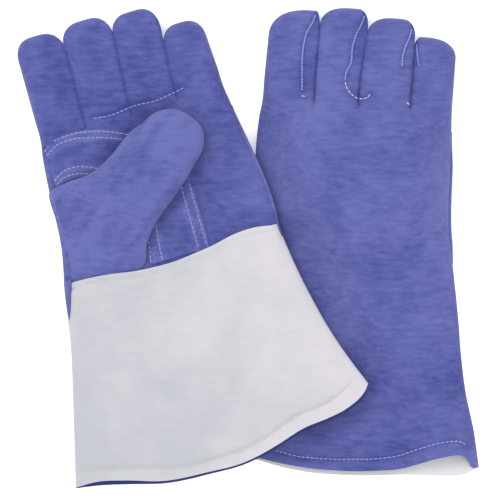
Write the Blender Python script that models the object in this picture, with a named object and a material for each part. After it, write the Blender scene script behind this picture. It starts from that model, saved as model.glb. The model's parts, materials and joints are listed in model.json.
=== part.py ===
"""A pair of gauntlet welding gloves, the left one lying across the right one's cuff.

Lengths are in millimetres until place() turns them into metres. Each glove is drawn
in its own frame: u runs across from the thumb side to the little-finger side, v runs
from the hem to the fingertips, and z is the height above the table. The right glove
lies back up on its folded thumb; the left one lies palm up with its thumb on the palm.
"""

import math
from functools import partial

import bpy
import numpy as np
from mathutils import Vector

MM = 0.001

# Thickness of the hides, the cloth lining and the seams that join them.
LEATHER = 2.0
CLOTH = 1.0
LINING_INSET = LEATHER + 1.8
SEAM_GAP = 0.4
SECTION_POWER = 0.8
FLAT_DIP = 2.0

# Stations along a glove.
WRIST = 166.0
KNUCKLE = 296.0
FINGER_CLEARANCE = 0.8
SEAM_HEIGHT = 8.0
TIP_HEIGHT = 8.0

# How the gloves stack: the right cuff is pressed flat under the left one.
PRESSED_HEIGHT = 10.0
STACK_GAP = 3.0
PALM_REST = 3.8
THUMB_BUMP = 15.5
BUMP_SPINE = (45.0, 68.0, -4.0)
BUMP_RADIUS = 30.0
BUMP_REACH = 50.0

# Thumb, in its own frame: a from the crease to the tip, c across it.
THUMB_ORIGIN = (-43.5, 208.5)
THUMB_ANGLE = math.radians(54.5)
THUMB_A = (0, 12, 37, 60, 75, 88, 99, 106, 108.5)
THUMB_UPPER = (44, 36, 27, 26, 26, 21.6, 13.5, 7, 2)
THUMB_LOWER = (-42, -36.6, -35, -33, -31.5, -28.5, -23.5, -16, -11)
THUMB_BULK = (0.45, 0.6, 0.9, 1, 1, 0.95, 0.75, 0.35, 0)
CREASE = ((-68, 249), (-19, 168))

# The strap round the opening that the thumb is sewn into; it covers the palm's cut edge.
STRAP_OUTER = (
    (-66, 276), (-50, 281), (-29, 278), (-3, 269), (14, 254), (25, 236), (28, 214), (27, 190), (25, 168),
)
STRAP_INNER = (
    (-67, 254), (-54, 258), (-34, 251), (-22, 240), (-14, 226), (-8, 210), (-5, 197), (-6, 184), (-9, 168),
)
STRAP_STEPS = 16
STRAP_GAP = 1.4
THUMB_CLEARANCE = 1.3

# A fingertip rounds off over the last rings: distance along, width and height scales,
# and the half angle that the fourchette fills at the finger's side.
FINGER_RINGS = (
    (0.0, 1.0, 1.0, 0.60),
    (0.24, 1.0, 1.0, 0.60),
    (0.48, 1.0, 1.0, 0.60),
    (0.72, 1.0, 1.0, 0.60),
    (0.86, 0.90, 0.93, 0.12),
    (0.95, 0.66, 0.72, 0.001),
    (1.0, 0.31, 0.0, 0.001),
)
FOURCHETTE_RINGS = 5
FOURCHETTE_EASE = 0.045
SEAM_ANGLE = 0.001
FINGERS = ("index", "middle", "ring", "pinky")

CUFF_ROWS = (0, 28, 56, 84, 112, 140, 165.7)
PALM_ROWS = (166.2, 179, 192, 205, 218, 231, 244, 256, 268, 282, 295.6)
BACK_ROWS = CUFF_ROWS[:-1] + PALM_ROWS
WING_ROWS = PALM_ROWS[:7]
SHEET_COLUMNS = 12
FINGER_COLUMNS = 6
TUBE_COLUMNS = 12
TUBE_TIP_WIDTH = 0.12

GLOVES = {
    "right": {
        "place": (65.3, -172.4),
        "turn": math.radians(-3.7),
        "back_up": True,
        "height": 22.0,
        "thumb_height": 10.0,
        "edge_v": (0, 30, 60, 90, 120, 166, 192, 245, 296),
        "thumb_edge": (-110, -104, -98, -91, -84, -75, -75, -76, -73),
        "pinky_edge": (107.5, 100, 95.5, 91.5, 87.8, 80.5, 76, 73.5, 72),
        "hem_rise": {"back": (16, 0, 2.2), "palm": (16, 0, 6)},
        "roots": (-73, -33.5, 0, 37.6, 72),
        "ends": (-69, -30, 4.5, 38, 70),
        "tips": ((-46, 352), (-13, 356), (19, 350), (51, 337)),
    },
    "left": {
        "place": (-12.3, -168.6),
        "turn": math.radians(16.7),
        "back_up": False,
        "height": 23.0,
        "thumb_height": 18.0,
        "edge_v": (0, 30, 60, 90, 120, 166, 202, 243, 296),
        "thumb_edge": (-120, -113, -106, -99, -91.5, -83, -76, -74.5, -69),
        "pinky_edge": (118, 109, 101.5, 96, 91.5, 87, 86, 81, 77),
        "hem_rise": {"back": (28, 7, 2.2), "palm": (28, 7, 2.2)},
        "roots": (-69, -32.5, 4, 40.5, 77),
        "ends": (-67, -31, 7.5, 44, 74),
        "tips": ((-46, 360), (-9, 361), (28, 357), (61, 338)),
    },
}

COLOURS = {
    "blue_leather": ((0.115, 0.135, 0.44, 1.0), 0.92),
    "grey_leather": ((0.64, 0.65, 0.68, 1.0), 0.92),
    "welt_leather": ((0.48, 0.50, 0.74, 1.0), 0.85),
    "cotton_lining": ((0.78, 0.77, 0.73, 1.0), 0.95),
}


def clear_scene():
    """Remove every object, so that the gloves stand alone."""
    for old in list(bpy.data.objects):
        bpy.data.objects.remove(old, do_unlink=True)


def make_materials():
    """One Principled material for each kind of leather and for the lining."""
    materials = {}
    for name, (colour, roughness) in COLOURS.items():
        material = bpy.data.materials.new(name)
        material.use_nodes = True
        shader = material.node_tree.nodes["Principled BSDF"]
        shader.inputs["Base Color"].default_value = colour
        shader.inputs["Roughness"].default_value = roughness
        material.diffuse_color = colour
        materials[name] = material
    return materials


def ease(value):
    """Smooth step from 0 to 1."""
    value = min(1.0, max(0.0, value))
    return value * value * (3 - 2 * value)


def to_table(glove, u, v):
    """A glove's (u, v) as table coordinates."""
    cos, sin = math.cos(glove["turn"]), math.sin(glove["turn"])
    return glove["place"][0] + u * cos - v * sin, glove["place"][1] + u * sin + v * cos


def from_table(glove, x, y):
    """Table coordinates as a glove's (u, v)."""
    cos, sin = math.cos(glove["turn"]), math.sin(glove["turn"])
    x, y = x - glove["place"][0], y - glove["place"][1]
    return x * cos + y * sin, y * cos - x * sin


def place(glove, u, v, z):
    """A point of the glove, in metres on the table."""
    x, y = to_table(glove, u, v)
    return Vector((x, y, z)) * MM


def edges(glove, v):
    """The glove's two side edges at v."""
    return (
        float(np.interp(v, glove["edge_v"], glove["thumb_edge"])),
        float(np.interp(v, glove["edge_v"], glove["pinky_edge"])),
    )


def thumb_coordinates(u, v):
    """The thumb's (a, c) of a glove's (u, v)."""
    u, v = u - THUMB_ORIGIN[0], v - THUMB_ORIGIN[1]
    cos, sin = math.cos(THUMB_ANGLE), math.sin(THUMB_ANGLE)
    return u * sin + v * cos, v * sin - u * cos


def lift(glove, u, v):
    """How far the glove's underside is held off the table at (u, v)."""
    if glove["back_up"]:
        a, c = thumb_coordinates(u, v)
        near, far, middle = BUMP_SPINE
        beyond = math.hypot(max(0.0, near - a, a - far), c - middle) - BUMP_RADIUS
        rest = PALM_REST * ease((v - 120) / (WRIST - 120))
        return rest + (THUMB_BUMP - rest) * ease(1 - beyond / BUMP_REACH)
    under = GLOVES["right"]
    under_u, under_v = from_table(under, *to_table(glove, u, v))
    thumb_edge, _ = edges(under, under_v)
    support = PRESSED_HEIGHT + STACK_GAP + lift(under, under_u, under_v)
    return support * ease((under_u - thumb_edge + 40) / 42)


def height(glove, u, v):
    """The glove's thickness at (u, v), from its lowest to its highest face."""
    full = glove["height"]
    if not glove["back_up"]:
        return full - 0.35 * lift(glove, u, v)
    over_u, over_v = from_table(GLOVES["left"], *to_table(glove, u, v))
    _, pinky_edge = edges(GLOVES["left"], over_v)
    pressed = ease((pinky_edge + 48 - over_u) / 42) * ease((300 - over_v) / 50)
    return full + (PRESSED_HEIGHT - full) * pressed


def seam_height(glove, u, v):
    """Height of the side seam above the underside."""
    return SEAM_HEIGHT * height(glove, u, v) / glove["height"]


def valley(glove, u, v):
    """Depth of the dips that run back from between the fingers."""
    near = ease((v - 262) / (KNUCKLE - 262))
    dips = sum(math.exp(-(((u - root) / 6) ** 2)) for root in glove["roots"][1:4])
    return 4.0 * near * dips


def hand_point(glove, sheet, v, phi, inset):
    """A point of the hand or cuff; phi runs over it from thumb side to little-finger side."""
    thumb_edge, pinky_edge = edges(glove, v)
    half = (pinky_edge - thumb_edge) / 2
    across = -math.copysign(abs(math.cos(phi)) ** SECTION_POWER, math.cos(phi))
    u = (thumb_edge + pinky_edge) / 2 + across * (half - inset)
    if v < WRIST:
        panel = "back" if (sheet == "top") == glove["back_up"] else "palm"
        rise, skew, power = glove["hem_rise"][panel]
        v += (rise + skew * across) * abs(across) ** power * (1 - v / WRIST)
    return sheet_point(glove, sheet, u, v, abs(math.sin(phi)) ** SECTION_POWER, inset)


def sheet_point(glove, sheet, u, v, fullness, inset):
    """A point on the upper or lower sheet, fullness going from 0 at the seam to 1."""
    seam = seam_height(glove, u, v)
    if sheet == "top":
        rise = (height(glove, u, v) - seam - inset - valley(glove, u, v)) * fullness
        z = seam + max(SEAM_GAP / 2, rise)
    else:
        drop = (seam + FLAT_DIP - inset) * fullness
        z = seam - min(seam - inset, max(SEAM_GAP / 2, drop))
    return place(glove, u, v, z + lift(glove, u, v))


def angle_at(glove, u, v):
    """The section angle at which the hand's surface passes over u."""
    thumb_edge, pinky_edge = edges(glove, v)
    across = (2 * u - thumb_edge - pinky_edge) / (pinky_edge - thumb_edge)
    across = min(1.0, max(-1.0, across))
    return math.acos(-math.copysign(abs(across) ** (1 / SECTION_POWER), across))


def surface_height(glove, sheet, u, v):
    """Height of the upper or lower sheet's outer face over (u, v)."""
    fullness = math.sin(angle_at(glove, u, v)) ** SECTION_POWER
    return sheet_point(glove, sheet, u, v, fullness, 0.0).z / MM


def grid_faces(rows, columns, closed=False, hole=None):
    """Quads of a grid of points; a closed grid joins its last column to its first."""
    faces = []
    for row in range(rows - 1):
        for column in range(columns if closed else columns - 1):
            if hole and (row, column) in hole:
                continue
            right = (column + 1) % columns
            start, end = row * columns, (row + 1) * columns
            faces.append((start + column, start + right, end + right, end + column))
    return faces


def cap_faces(rows, columns):
    """Close the last ring of a closed grid with a fan of triangles round its first point."""
    start = (rows - 1) * columns
    return [(start, start + column, start + column + 1) for column in range(1, columns - 1)]


def thick_sheet(name, material, outer, inner, faces, origin, collection):
    """A closed body between two sheets of points that share the same faces."""
    count = len(outer)
    solid = [tuple(face) for face in faces]
    solid += [tuple(count + index for index in (face[0], *face[:0:-1])) for face in faces]
    directed = {(face[i], face[(i + 1) % len(face)]) for face in faces for i in range(len(face))}
    for start, end in sorted(directed):
        if (end, start) not in directed:
            solid.append((end, start, count + start, count + end))
    mesh = bpy.data.meshes.new(name)
    points = [point - origin for point in outer + inner]
    mesh.from_pydata(points, [], solid)
    mesh.validate()
    mesh.materials.append(material)
    piece = bpy.data.objects.new(name, mesh)
    piece.location = origin
    collection.objects.link(piece)
    return piece


def settle(collection):
    """Drop unused points, turn every face outward and shade smooth."""
    for piece in collection.objects:
        mesh = piece.data
        used = sorted({index for face in mesh.polygons for index in face.vertices})
        points = [mesh.vertices[index].co.copy() for index in used]
        new_index = {old: new for new, old in enumerate(used)}
        faces = [[new_index[index] for index in face.vertices] for face in mesh.polygons]
        volume = sum(
            points[face[0]].cross(points[face[i]]).dot(points[face[i + 1]])
            for face in faces
            for i in range(1, len(face) - 1)
        )
        if volume < 0:
            faces = [face[::-1] for face in faces]
        material = mesh.materials[0]
        mesh.clear_geometry()
        mesh.from_pydata(points, [], faces)
        mesh.update()
        mesh.materials.clear()
        mesh.materials.append(material)
        mesh.polygons.foreach_set("use_smooth", [True] * len(mesh.polygons))


def hand_sheet(glove, sheet, rows, span, columns=SHEET_COLUMNS):
    """Outer and inner points of a leather panel; span(v) gives its first and last angle."""
    layers = []
    for inset in (0.0, LEATHER):
        layer = []
        for v in rows:
            first, last = span(v)
            for column in range(columns + 1):
                phi = first + (last - first) * column / columns
                layer.append(hand_point(glove, sheet, v, phi, inset))
        layers.append(layer)
    return layers[0], layers[1], grid_faces(len(rows), columns + 1)


def whole_span(v):
    """The section angles of a sheet that reaches both side seams, at any v."""
    return 0.0, math.pi


def build_back_and_cuff(build, glove, top, bottom):
    """The one-piece blue back and the grey palm side of the cuff."""
    build("back_panel", "blue_leather", *hand_sheet(glove, top, BACK_ROWS, whole_span))
    build("cuff_panel", "grey_leather", *hand_sheet(glove, bottom, CUFF_ROWS, whole_span))


def strap_middle(v):
    """Where the strap's middle line crosses v, on the hand's own side of the opening."""
    line = [((a[0] + b[0]) / 2, (a[1] + b[1]) / 2) for a, b in zip(STRAP_INNER, STRAP_OUTER)]
    line.reverse()
    return float(np.interp(v, [point[1] for point in line], [point[0] for point in line]))


def thumb_opening(glove, rows):
    """The grid cells of the palm that lie inside the strap's middle line."""
    cells = set()
    for row in range(len(rows) - 1):
        v = (rows[row] + rows[row + 1]) / 2
        for column in range(SHEET_COLUMNS):
            edge = angle_at(glove, strap_middle(v), v)
            if v < STRAP_INNER[1][1] and math.pi * (column + 0.5) / SHEET_COLUMNS < edge:
                cells.add((row, column))
    return cells


def build_palm(build, glove, sheet):
    """The palm with its thumb opening, and the wing of the thumb that fills the corner."""

    def wing_span(v):
        (near_u, near_v), (far_u, far_v) = CREASE
        crease = float(np.interp(v, (far_v, near_v), (far_u, near_u)))
        return 0.0, angle_at(glove, crease - SEAM_GAP, v)

    outer, inner, _ = hand_sheet(glove, sheet, PALM_ROWS, whole_span)
    opening = thumb_opening(glove, PALM_ROWS)
    faces = grid_faces(len(PALM_ROWS), SHEET_COLUMNS + 1, hole=opening)
    build("palm_panel", "blue_leather", outer, inner, faces)
    build("thumb_wing", "blue_leather", *hand_sheet(glove, sheet, WING_ROWS, wing_span, 5))


def build_strap(build, glove, sheet):
    """The curved strap sewn on the palm round the thumb opening."""
    outward = 1 if sheet == "top" else -1
    steps = np.linspace(0, 1, STRAP_STEPS + 1)
    knots = np.linspace(0, 1, len(STRAP_OUTER))
    layers = []
    for lift_off in (STRAP_GAP + LEATHER, STRAP_GAP):
        layer = []
        for step in steps:
            rim = [
                np.array([np.interp(step, knots, axis) for axis in zip(*line)])
                for line in (STRAP_INNER, STRAP_OUTER)
            ]
            for share in (0.0, 0.5, 1.0):
                u, v = rim[0] + (rim[1] - rim[0]) * share
                z = surface_height(glove, sheet, u, v) + outward * lift_off
                layer.append(place(glove, u, v, z))
        layers.append(layer)
    build("thumb_strap", "blue_leather", *layers, grid_faces(STRAP_STEPS + 1, 3))


def build_welt(build, glove):
    """The narrow welt caught in the little-finger side seam."""
    layers = []
    for half_height in (0.8, -0.8):
        layer = []
        for v in PALM_ROWS:
            _, edge = edges(glove, v)
            for reach in (0.3, 2.3):
                u = edge + reach
                z = lift(glove, u, v) + seam_height(glove, u, v) + half_height
                layer.append(place(glove, u, v, z))
        layers.append(layer)
    build("side_welt", "welt_leather", *layers, grid_faces(len(PALM_ROWS), 2))


def build_hand_lining(build, glove, palm_sheet):
    """The cotton lining of the hand, open at both ends and at the thumb."""
    layers = []
    hole = set()
    for inset in (LINING_INSET, LINING_INSET + CLOTH):
        layer = []
        for v in PALM_ROWS:
            for column in range(2 * TUBE_COLUMNS):
                phi = math.pi * column / TUBE_COLUMNS
                sheet = "top" if phi <= math.pi else "bottom"
                layer.append(hand_point(glove, sheet, v, phi, inset))
        layers.append(layer)
    for row in range(3):
        for column in range(2 * TUBE_COLUMNS):
            phi = math.pi * (column + 0.5) / TUBE_COLUMNS
            on_palm = (phi < math.pi) == (palm_sheet == "top")
            if on_palm and -0.75 < -math.cos(phi) < -0.1:
                hole.add((row + 1, column))
    faces = grid_faces(len(PALM_ROWS), 2 * TUBE_COLUMNS, closed=True, hole=hole)
    build("hand_lining", "cotton_lining", *layers, faces)


def finger_shape(glove, number):
    """Root height, length and the knots of the finger's centre line and half width."""
    roots, ends, tip = glove["roots"], glove["ends"], glove["tips"][number]
    root_centre = (roots[number] + roots[number + 1]) / 2
    end_centre = (ends[number] + ends[number + 1]) / 2
    return {
        "length": tip[1] - KNUCKLE,
        "centre": (root_centre, end_centre, (end_centre + tip[0]) / 2),
        "half": (
            (roots[number + 1] - roots[number]) / 2 - FINGER_CLEARANCE,
            (ends[number + 1] - ends[number]) / 2 - FINGER_CLEARANCE,
        ),
        "lift": lift(glove, root_centre, KNUCKLE),
        "height": glove["height"] - 1.0,
    }


def finger_point(glove, shape, ring, phi, inset):
    """A point of a finger's skin; phi goes over the top and then back underneath."""
    along, width, tallness, _ = ring
    v = KNUCKLE + along * (shape["length"] - inset)
    centre = float(np.interp(along, (0, 0.75, 1), shape["centre"]))
    half = float(np.interp(along, (0, 0.8), shape["half"]))
    across = -math.copysign(abs(math.cos(phi)) ** SECTION_POWER, math.cos(phi))
    fullness = abs(math.sin(phi)) ** SECTION_POWER
    if math.sin(phi) >= 0:
        z = max(SEAM_GAP / 2, (shape["height"] - TIP_HEIGHT - inset) * fullness * tallness)
    else:
        depth = min(TIP_HEIGHT - inset, (TIP_HEIGHT + FLAT_DIP - inset) * fullness)
        z = -max(SEAM_GAP / 2, depth * tallness)
    slope = shape["lift"] * max(0.0, 1 - along / 0.85)
    return place(glove, centre + across * (half - inset) * width, v, TIP_HEIGHT + z + slope)


def finger_sheet(glove, shape, rings, span, columns):
    """Outer and inner points of one of a finger's leather pieces."""
    layers = []
    for inset in (0.0, LEATHER):
        layer = []
        for ring in rings:
            first, last = span(ring[3])
            for column in range(columns + 1):
                phi = first + (last - first) * column / columns
                layer.append(finger_point(glove, shape, ring, phi, inset))
        layers.append(layer)
    return layers[0], layers[1], grid_faces(len(rings), columns + 1)


def build_finger(build, glove, number, top, bottom):
    """A finger's back and front, the fourchettes at its inner sides and its lining."""
    shape = finger_shape(glove, number)
    name = FINGERS[number]
    thumb_side = 1 if number > 0 else 0
    pinky_side = 1 if number < len(FINGERS) - 1 else 0

    def over(fill):
        first = max(SEAM_ANGLE, fill * thumb_side)
        return first, math.pi - max(SEAM_ANGLE, fill * pinky_side)

    def under(fill):
        first, last = over(fill)
        return -first, -last

    def thumb_side_wall(fill):
        return FOURCHETTE_EASE - fill, fill - FOURCHETTE_EASE

    def pinky_side_wall(fill):
        return math.pi + FOURCHETTE_EASE - fill, math.pi - FOURCHETTE_EASE + fill

    for piece, span in ((top, over), (bottom, under)):
        sheet = finger_sheet(glove, shape, FINGER_RINGS, span, FINGER_COLUMNS)
        build(f"{name}_{piece}", "blue_leather", *sheet)
    strips = FINGER_RINGS[:FOURCHETTE_RINGS]
    if thumb_side:
        sheet = finger_sheet(glove, shape, strips, thumb_side_wall, 2)
        build(f"{name}_fourchette_{FINGERS[number - 1]}_side", "blue_leather", *sheet)
    if pinky_side:
        sheet = finger_sheet(glove, shape, strips, pinky_side_wall, 2)
        build(f"{name}_fourchette_{FINGERS[number + 1]}_side", "blue_leather", *sheet)
    build(f"{name}_lining", "cotton_lining", *tube(FINGER_RINGS, partial(finger_point, glove, shape)))


def tube(rings, point):
    """A closed-ended cloth tube inside a finger or thumb; its tip is drawn a little apart."""
    layers = []
    for inset in (LINING_INSET, LINING_INSET + CLOTH):
        layer = []
        for index, ring in enumerate(rings):
            if index == len(rings) - 1:
                ring = (*ring[:2], TUBE_TIP_WIDTH, ring[3])
            for column in range(TUBE_COLUMNS):
                layer.append(point(ring, 2 * math.pi * column / TUBE_COLUMNS, inset))
        layers.append(layer)
    faces = grid_faces(len(rings), TUBE_COLUMNS, closed=True) + cap_faces(len(rings), TUBE_COLUMNS)
    return layers[0], layers[1], faces


def thumb_point(glove, ring, phi, inset):
    """A point of the thumb's skin; it rests on the palm, or on the table under the palm."""
    a, _, tallness, _ = ring
    upper = float(np.interp(a, THUMB_A, THUMB_UPPER)) - inset
    lower = float(np.interp(a, THUMB_A, THUMB_LOWER)) + inset
    bulk = tallness * (glove["thumb_height"] - 2 * inset)
    a = min(a, THUMB_A[-1] - inset)
    across = -math.copysign(abs(math.cos(phi)) ** SECTION_POWER, math.cos(phi))
    fullness = abs(math.sin(phi)) ** SECTION_POWER
    c = (upper + lower) / 2 - across * (upper - lower) / 2
    cos, sin = math.cos(THUMB_ANGLE), math.sin(THUMB_ANGLE)
    u = THUMB_ORIGIN[0] + a * sin - c * cos
    v = THUMB_ORIGIN[1] + a * cos + c * sin
    base = inset
    if not glove["back_up"]:
        base += surface_height(glove, "top", u, v) + STRAP_GAP + LEATHER + THUMB_CLEARANCE
    middle = 0.38 * bulk
    if math.sin(phi) >= 0:
        z = middle + max(SEAM_GAP / 2, (bulk - middle) * fullness)
    else:
        z = middle - min(middle, max(SEAM_GAP / 2, 1.25 * middle * fullness))
    return place(glove, u, v, base + z)


def build_thumb(build, glove, outer_name, inner_name):
    """The folded thumb: the side away from the palm, the side against it, and its lining."""
    stations = [0.6, 12, 30, 46, 62, 77, 90, 100, 108.5]
    rings = [(a, 1.0, max(0.05, float(np.interp(a, THUMB_A, THUMB_BULK))), 0.0) for a in stations]
    for name, first in ((outer_name, 0), (inner_name, 2)):
        sign = 1 if name == "thumb_top" else -1
        layers = []
        for inset in (0.0, LEATHER):
            layer = []
            for ring in rings[first:]:
                for column in range(FINGER_COLUMNS + 1):
                    turn = SEAM_ANGLE + (math.pi - 2 * SEAM_ANGLE) * column / FINGER_COLUMNS
                    layer.append(thumb_point(glove, ring, sign * turn, inset))
            layers.append(layer)
        faces = grid_faces(len(rings[first:]), FINGER_COLUMNS + 1)
        final = "thumb_outer" if first == 0 else "thumb_inner"
        build(final, "blue_leather", *layers, faces)
    build("thumb_lining", "cotton_lining", *tube(rings[2:-1], partial(thumb_point, glove)))


def hinge_point(glove, number):
    """The point of a finger's crook at the palm face of its root."""
    shape = finger_shape(glove, number)
    z = shape["lift"]
    if not glove["back_up"]:
        z += shape["height"]
    return place(glove, shape["centre"][0], KNUCKLE, z)


def thumb_hinge(glove):
    """The middle of the thumb's crease, at the thumb's outer face."""
    (near_u, near_v), (far_u, far_v) = CREASE
    z = 0.0
    if not glove["back_up"]:
        ring = (0.6, 1.0, THUMB_BULK[0], 0.0)
        turns = [math.pi * step / 12 for step in range(13)]
        z = max(thumb_point(glove, ring, turn, 0.0).z for turn in turns) / MM
    return place(glove, (near_u + far_u) / 2, (near_v + far_v) / 2, z)


def build_glove(side, materials, collection):
    """All the pieces of one glove."""
    glove = GLOVES[side]
    palm_sheet, back_sheet = ("bottom", "top") if glove["back_up"] else ("top", "bottom")

    def builder(origin):
        def build(name, material, outer, inner, faces):
            return thick_sheet(
                f"{side}_{name}", materials[material], outer, inner, faces, origin, collection
            )

        return build

    hand = builder(place(glove, 0, 0, 0))
    build_back_and_cuff(hand, glove, back_sheet, palm_sheet)
    build_palm(hand, glove, palm_sheet)
    build_strap(hand, glove, palm_sheet)
    build_welt(hand, glove)
    build_hand_lining(hand, glove, palm_sheet)
    over, under = ("back", "front") if glove["back_up"] else ("front", "back")
    for number in range(len(FINGERS)):
        build_finger(builder(hinge_point(glove, number)), glove, number, over, under)
    faces = ("thumb_bottom", "thumb_top") if glove["back_up"] else ("thumb_top", "thumb_bottom")
    build_thumb(builder(thumb_hinge(glove)), glove, *faces)


def build_gloves():
    """Clear the scene and build both gloves."""
    clear_scene()
    collection = bpy.data.collections.new("welding_gloves")
    bpy.context.scene.collection.children.link(collection)
    materials = make_materials()
    for side in GLOVES:
        build_glove(side, materials, collection)
    settle(collection)


build_gloves()
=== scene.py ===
"""Detailed look of a pair of gauntlet welding gloves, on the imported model's frame.

Lengths are in millimetres until they are placed. Each glove has its own (u, v): u runs
across from the thumb side, v from the hem to the fingertips. Each leather skin is a grid
of points over (u, v), thickened inward, with seams, creases and thread laid on it.
"""

import json
import math

import bpy
import numpy as np
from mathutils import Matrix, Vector, noise

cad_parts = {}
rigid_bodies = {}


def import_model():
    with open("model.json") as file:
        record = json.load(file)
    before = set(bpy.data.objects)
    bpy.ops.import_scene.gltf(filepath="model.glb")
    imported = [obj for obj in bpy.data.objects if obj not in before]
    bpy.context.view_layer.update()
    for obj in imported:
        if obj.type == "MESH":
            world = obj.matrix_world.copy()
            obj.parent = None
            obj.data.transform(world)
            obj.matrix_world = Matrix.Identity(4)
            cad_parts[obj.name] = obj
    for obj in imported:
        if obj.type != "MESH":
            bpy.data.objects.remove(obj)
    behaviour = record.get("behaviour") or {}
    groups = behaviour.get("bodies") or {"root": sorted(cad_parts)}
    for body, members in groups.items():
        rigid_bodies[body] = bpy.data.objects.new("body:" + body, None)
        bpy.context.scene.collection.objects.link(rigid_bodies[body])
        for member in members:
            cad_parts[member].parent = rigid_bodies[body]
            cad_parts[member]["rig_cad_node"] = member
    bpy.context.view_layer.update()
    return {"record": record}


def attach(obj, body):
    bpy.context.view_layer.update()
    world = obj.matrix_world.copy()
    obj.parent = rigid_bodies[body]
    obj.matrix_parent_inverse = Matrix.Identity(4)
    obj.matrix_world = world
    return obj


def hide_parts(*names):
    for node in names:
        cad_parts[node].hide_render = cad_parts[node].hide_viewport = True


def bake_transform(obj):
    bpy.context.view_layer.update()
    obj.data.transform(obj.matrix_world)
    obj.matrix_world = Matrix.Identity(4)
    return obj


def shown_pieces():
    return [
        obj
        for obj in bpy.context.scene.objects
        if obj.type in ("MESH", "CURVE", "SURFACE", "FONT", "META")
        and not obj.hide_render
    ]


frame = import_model()
MM = 0.001

# The studio: a table that lies just under the gloves, and lamps as (name, place, watts, width).
TABLE_HALF = 3.0
TABLE_TOP = -0.0004
SKY_STRENGTH = 1.15
LAMPS = (("key", (-0.8, 0.8, 1.6), 13.0, 0.9), ("fill", (0.9, -0.3, 1.6), 6.0, 1.2))
CAMERA_HEIGHT = 2.4
CAMERA_LENS = 224.0
CAMERA_SENSOR = 36.0
CAMERA_AIM = (0.0008, -0.0012)

# Stations along a glove. From MERGE_START to CROTCH the hand turns into four fingers.
WRIST = 166.0
MERGE_START = 268.0
SPLIT = 282.0
CROTCH = 291.0
KNUCKLE = 296.0

# How a glove's sections are drawn, how fine its grids are, and how far the palm runs on
# under the cuff. FAR_AWAY is beyond any line; NO_LENGTH is less than any normal's length.
SECTION_POWER = 0.8
MID_HEIGHT = 8.0
FLAT_DIP = 2.0
LEATHER = 1.8
ACROSS = 26
UNDER_ACROSS = 12
ROW_STEP = 1.6
PALM_UNDERLAP = 8.0
FAR_AWAY = 1e9
NO_LENGTH = 1e-12

# The fingers. A negative gap presses neighbours together; INNER_WALL makes their sides steep.
FINGER_POWER = 0.5
FINGER_GAP = -0.12
GAP_RUN = 8.0
INNER_WALL = 0.9
TAPER = 45.0
FINGER_SLACK = 1.0
SLOPE_SHARE = 0.85
SIDE_RELIEF_FADE = 6.0

# Rounded tips: rows over the rounding, the turn it stops at, and how it narrows and thins.
ROUND_MARGIN = 0.5
TIP_ROWS = 17
THUMB_TIP_ROWS = 18
LAST_TURN = 88.5
TIP_NARROWING = 0.72
TIP_THINNING = 0.6
THUMB_NARROWING = 0.85
THUMB_THINNING = 0.7

# Stitches: a bead is (share of its length, swell). Threads are a little wider than tall.
STITCH_LENGTH = 3.0
STITCH_PITCH = 3.5
THREAD = 0.36
FINGER_STITCH = {"girth": 0.58, "length": 2.8, "pitch": 2.5}
BEAD = ((0.0, 0.45), (0.18, 0.95), (0.5, 1.1), (0.82, 0.95), (1.0, 0.45))
THREAD_SIDES = 6
THREAD_WIDTH = 1.2
THREAD_LIFT = 0.6
BEAD_DIP = 0.8
NEAREST = 4
NEAREST_SOFT = 0.01

# The cuff's end at the wrist stands off the hand, beside a sunken seam; it is drawn out
# from DRAW_START on to its own curved line.
DRAW_START = 110.0
WRIST_STEP = 2.1
STEP_BEFORE = 22.0
STEP_RUN = 20.0
STEP_EDGE = 4.0
WRIST_SEAM = 1.2
WRIST_SEAM_BEFORE = 4.5
WRIST_SEAM_HALF = 1.4

# The welt in the little-finger side seam.
WELT_END = 268.0
WELT_END_ROUND = 2.0
WELT_RISE_RUN = 18.0
WELT_FALL_RUN = 30.0
WELT_THINNEST = 0.02
WELT_OUT = 0.2
WELT_HALF_WIDTH = 1.3
WELT_HALF_HEIGHT = 1.0
WELT_LEATHER = 0.5
WELT_SIDES = 10
WELT_RIPPLE = (0.2, 5, 4.4)

# The corner of the back that laps over the cuff on the thumb side.
TAB_START = 140.0
TAB_END = WRIST + 3
TAB_WIDTH = 6.2
TAB_POINT = 0.1
TAB_POWER = 0.7
TAB_OUT = 0.15
TAB_EDGE = 0.05
TAB_RISE = 1.1
TAB_COLUMNS = 9
TAB_LEATHER = 0.9

# The cotton lining of the hand.
LINING_STEP = 4.0
LINING_SHORT = 6.0
LINING_COLUMNS = 9
LINING_GAP = 0.5
LINING_CLOTH = 0.8

# How the gloves are stacked: the same as in the solids.
PRESSED_HEIGHT = 10.0
PRESS_MARGIN = 48.0
PRESS_END = 300.0
PRESS_RUN = 50.0
STACK_GAP = 3.0
STACK_MARGIN = 40.0
STACK_RUN = 42.0
SAG = 0.35
PALM_REST = 3.8
PALM_REST_START = 120.0
THUMB_BUMP = 15.5
BUMP_SPINE = (45.0, 68.0, -4.0)
BUMP_RADIUS = 30.0
BUMP_REACH = 50.0

# The thumb: a runs from its crease to its tip, c across it. Its wing lies before the crease.
THUMB_ORIGIN = (-43.5, 208.5)
THUMB_ANGLE = math.radians(54.5)
THUMB_A = (-53, -40, -20, -4, 10, 26, 47, 70, 82)
THUMB_UPPER = (-12, -2, 26, 45.5, 39, 29, 25, 24.3, 20.5)
THUMB_LOWER = (-14, -25, -40, -46, -38, -33.6, -32.5, -31, -29)
THUMB_BULK = (0.06, 0.06, 0.08, 0.25, 0.5, 0.8, 1, 1, 1)
THUMB_MIDDLE = 0.38
THUMB_BELLY = 1.25
THUMB_LEAN = 2.5
THUMB_ROUND = 82.0
THUMB_TIP = 107.5
THUMB_GAP = ((-53, -30, 0, 14), (0.5, 0.5, 1.2, 3.0))
THUMB_LEATHER = 0.6
WING_TUCK = 1.8
WING_TUCK_END = 178.0
WING_TUCK_RUN = 9.0

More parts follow.
